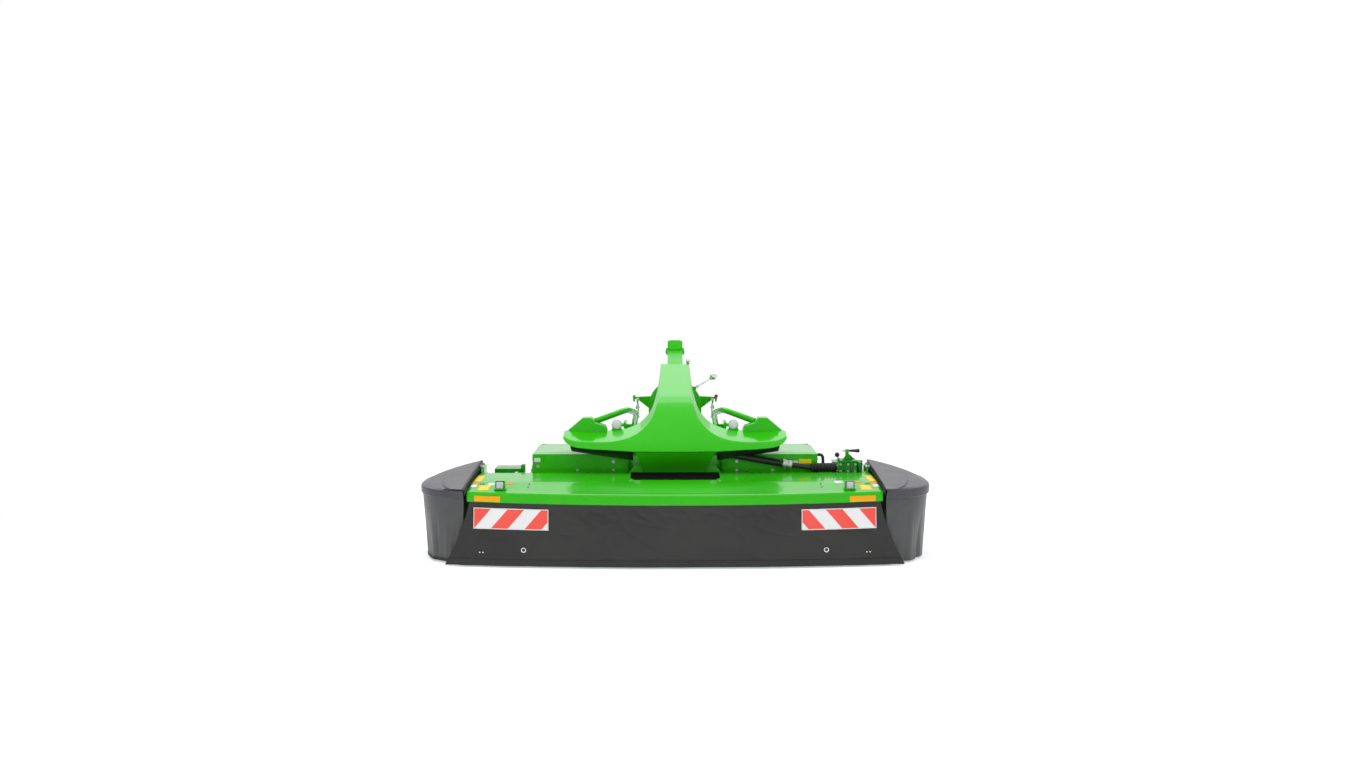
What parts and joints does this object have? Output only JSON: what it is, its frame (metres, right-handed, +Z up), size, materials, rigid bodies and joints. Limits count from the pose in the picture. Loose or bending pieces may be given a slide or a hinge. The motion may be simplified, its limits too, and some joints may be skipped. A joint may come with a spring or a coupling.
{
  "type": "front disc mower",
  "caption": "Front-mounted disc mower with tine conditioner: cutterbar with oval discs, lifting front hood with curtain, side hoods, three-point headstock.",
  "frame": {"origin": "on the ground under the middle of the outline", "axes": "+Z up, +X along the cutterbar to the viewer's right, -Y the way the mower's front curtain faces"},
  "size_m": [3.5, 2.18, 1.352],
  "materials": {
    "green_paint": "gloss",
    "dark_green_paint": "gloss",
    "green_plastic": "gloss",
    "worn_steel": "satin",
    "bright_steel": "satin",
    "black_plastic": "matte",
    "grey_plastic": "satin",
    "black_rubber": "matte",
    "curtain_fabric": "satin",
    "amber_plastic": "gloss",
    "board_white": "satin"
  },
  "bodies": {
    "chassis": {"cutterbar": "dark_green_paint", "skid_shoes": "worn_steel", "rock_guards": "dark_green_paint", "main_beam": "green_paint", "end_frame_left": "green_paint", "end_frame_right": "green_paint", "conditioner_cover": "green_paint", "conditioner_sides": "green_paint", "rear_guard": "green_paint", "rotor_bearings": "dark_green_paint", "headstock_cover": "green_paint", "headstock_keel": "green_paint", "wing_underpanels": "black_plastic", "hitch_mast": "green_paint", "hitch_arch": "green_paint", "lower_hitch": "green_paint", "strut_left": "green_paint", "strut_right": "green_paint", "wing_brackets": "green_paint", "wing_lamps": "dark_green_paint", "centre_gearbox": "dark_green_paint", "input_shaft": "bright_steel", "cross_shaft": "black_plastic", "shaft_bellows": "black_rubber", "side_gearbox": "dark_green_paint", "gear_lever": "black_plastic", "baffle_crank": "bright_steel", "baffle_bracket": "dark_green_paint", "flap_hinge_pins": "bright_steel", "side_hinge_pins": "bright_steel", "swath_hinge_pins": "bright_steel", "stand_sockets": "green_paint"},
    "flap": {"front_hood": "green_paint", "flap_knuckles": "green_paint", "front_curtain": "curtain_fabric", "reflectors": "amber_plastic", "warning_boards": "board_white", "hood_lamps": "green_plastic"},
    "hood_left": {"side_hood_left": "grey_plastic", "side_curtain_left": "curtain_fabric"},
    "hood_right": {"side_hood_right": "grey_plastic", "side_curtain_right": "curtain_fabric"},
    "rotor": {"tine_rotor": "dark_green_paint"},
    "swath_left": {"swath_board_left": "green_paint"},
    "swath_right": {"swath_board_right": "green_paint"},
    "leg_left": {"stand_left": "bright_steel"},
    "leg_right": {"stand_right": "bright_steel"},
    "disc_body_1": {"disc_1": "green_paint"},
    "disc_body_2": {"disc_2": "dark_green_paint"},
    "disc_body_3": {"disc_3": "dark_green_paint"},
    "disc_body_4": {"disc_4": "dark_green_paint"},
    "disc_body_5": {"disc_5": "dark_green_paint"},
    "disc_body_6": {"disc_6": "dark_green_paint"},
    "disc_body_7": {"disc_7": "dark_green_paint"},
    "disc_body_8": {"disc_8": "green_paint"}
  },
  "joints": [
    {"name": "flap_hinge", "type": "hinge", "parent": "chassis", "child": "flap", "pos_m": [0, -0.352, 0.512], "axis": [-1, 0, 0], "range_deg": [0, 50]},
    {"name": "hood_left_hinge", "type": "hinge", "parent": "chassis", "child": "hood_left", "pos_m": [-1.394, -0.23, 0.561], "axis": [0, 1, 0], "range_deg": [0, 90]},
    {"name": "hood_right_hinge", "type": "hinge", "parent": "chassis", "child": "hood_right", "pos_m": [1.394, -0.23, 0.561], "axis": [0, -1, 0], "range_deg": [0, 90]},
    {"name": "rotor_spin", "type": "hinge", "parent": "chassis", "child": "rotor", "pos_m": [0, 0.03, 0.35], "axis": [1, 0, 0], "continuous": true},
    {"name": "swath_left_hinge", "type": "hinge", "parent": "chassis", "child": "swath_left", "pos_m": [-0.994, 0.464, 0.272], "axis": [0, 0, 1], "range_deg": [-15, 15]},
    {"name": "swath_right_hinge", "type": "hinge", "parent": "chassis", "child": "swath_right", "pos_m": [0.994, 0.464, 0.272], "axis": [0, 0, 1], "range_deg": [-15, 15]},
    {"name": "leg_left_slide", "type": "slide", "parent": "chassis", "child": "leg_left", "axis": [0, 0, 1], "range_m": [0, 0.2]},
    {"name": "leg_right_slide", "type": "slide", "parent": "chassis", "child": "leg_right", "axis": [0, 0, 1], "range_m": [0, 0.2]},
    {"name": "disc_1_spin", "type": "hinge", "parent": "chassis", "child": "disc_body_1", "pos_m": [-1.3825, -0.52, 0.1], "axis": [0, 0, 1], "continuous": true},
    {"name": "disc_2_spin", "type": "hinge", "parent": "chassis", "child": "disc_body_2", "pos_m": [-0.9875, -0.52, 0.1], "axis": [0, 0, 1], "continuous": true},
    {"name": "disc_3_spin", "type": "hinge", "parent": "chassis", "child": "disc_body_3", "pos_m": [-0.5925, -0.52, 0.1], "axis": [0, 0, 1], "continuous": true},
    {"name": "disc_4_spin", "type": "hinge", "parent": "chassis", "child": "disc_body_4", "pos_m": [-0.1975, -0.52, 0.1], "axis": [0, 0, 1], "continuous": true},
    {"name": "disc_5_spin", "type": "hinge", "parent": "chassis", "child": "disc_body_5", "pos_m": [0.1975, -0.52, 0.1], "axis": [0, 0, 1], "continuous": true},
    {"name": "disc_6_spin", "type": "hinge", "parent": "chassis", "child": "disc_body_6", "pos_m": [0.5925, -0.52, 0.1], "axis": [0, 0, 1], "continuous": true},
    {"name": "disc_7_spin", "type": "hinge", "parent": "chassis", "child": "disc_body_7", "pos_m": [0.9875, -0.52, 0.1], "axis": [0, 0, 1], "continuous": true},
    {"name": "disc_8_spin", "type": "hinge", "parent": "chassis", "child": "disc_body_8", "pos_m": [1.3825, -0.52, 0.1], "axis": [0, 0, 1], "continuous": true}
  ],
  "couplings": [
    {"joint": "disc_2_spin", "follows": "disc_1_spin", "ratio": -1},
    {"joint": "disc_3_spin", "follows": "disc_1_spin", "ratio": 1},
    {"joint": "disc_4_spin", "follows": "disc_1_spin", "ratio": -1},
    {"joint": "disc_5_spin", "follows": "disc_1_spin", "ratio": 1},
    {"joint": "disc_6_spin", "follows": "disc_1_spin", "ratio": -1},
    {"joint": "disc_7_spin", "follows": "disc_1_spin", "ratio": 1},
    {"joint": "disc_8_spin", "follows": "disc_1_spin", "ratio": -1}
  ]
}
